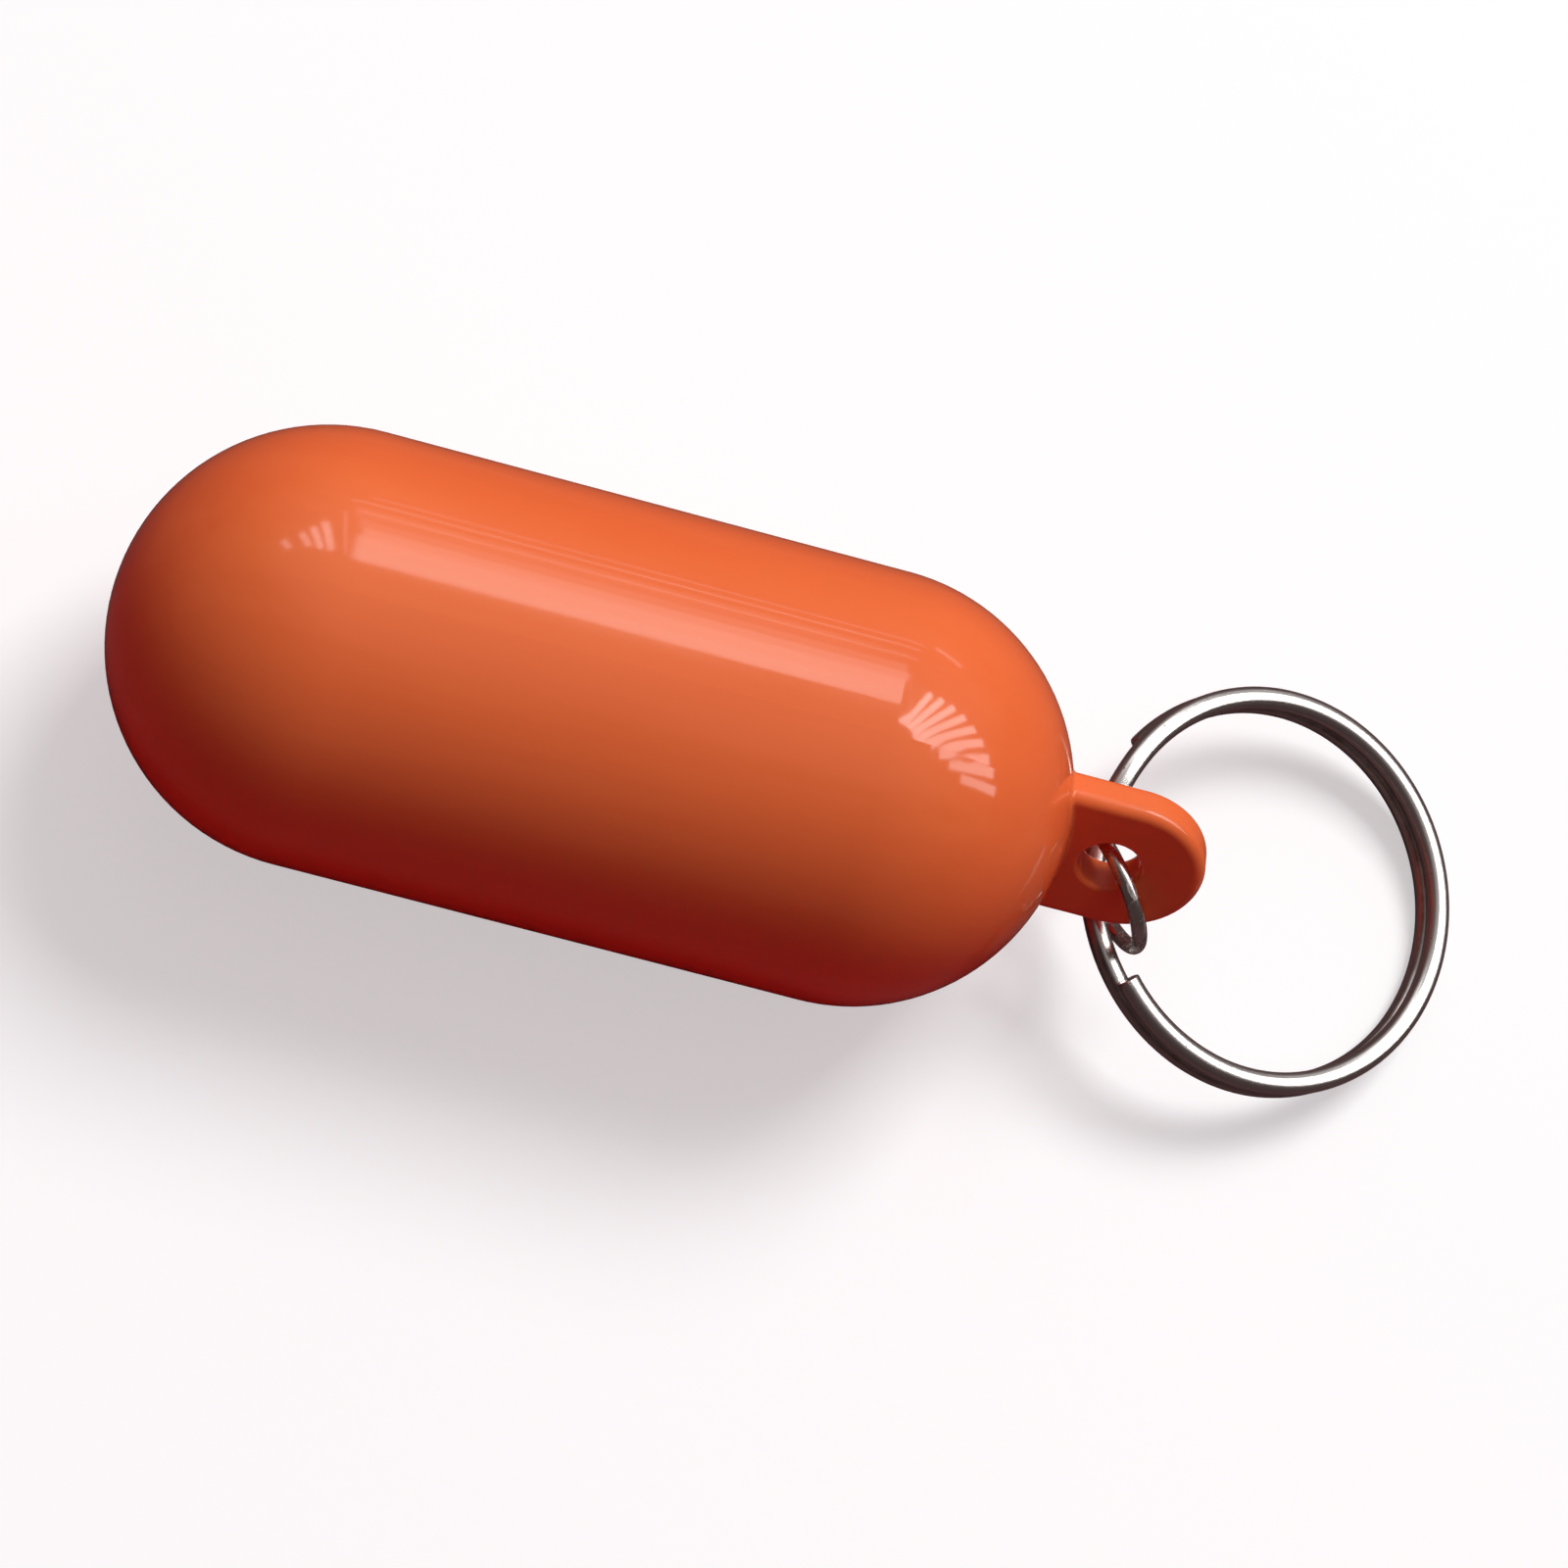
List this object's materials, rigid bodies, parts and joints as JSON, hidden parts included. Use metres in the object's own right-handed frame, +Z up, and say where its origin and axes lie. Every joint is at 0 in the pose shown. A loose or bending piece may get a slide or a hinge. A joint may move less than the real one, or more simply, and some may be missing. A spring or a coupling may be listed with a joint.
{
  "type": "floating key fob",
  "caption": "Floating key fob: sealed round-ended plastic capsule with a moulded lug, a small wire link in the lug's eye and a coiled key ring.",
  "frame": {"origin": "on the surface the fob lies on, under the middle of the whole object's box", "axes": "+X along the capsule from its plain end to the lug and the key ring, +Z up; the capsule lies on its side"},
  "size_m": [0.0972, 0.0323, 0.03],
  "materials": {
    "shell_plastic": "glossy orange moulded plastic",
    "foam": "white closed-cell foam",
    "link_wire": "bright nickel-plated steel wire",
    "ring_wire": "bright nickel-plated spring steel"
  },
  "bodies": {
    "float": {"body_shell": "shell_plastic", "eye_cap": "shell_plastic", "foam_core": "foam"},
    "link": {"link_ring": "link_wire"},
    "key_ring": {"split_ring": "ring_wire"}
  },
  "joints": [
    {"name": "link_swing", "type": "hinge", "parent": "float", "child": "link", "pos_m": [0.02129, -0.00115, 0.015], "axis": [0, -0.866, 0.5], "range_deg": [-20, 30]},
    {"name": "key_ring_swing", "type": "hinge", "parent": "link", "child": "key_ring", "pos_m": [0.02161, -0.00071, 0.0085], "axis": [0.0885, -0.977, -0.1938], "range_deg": [-80, 100]}
  ]
}
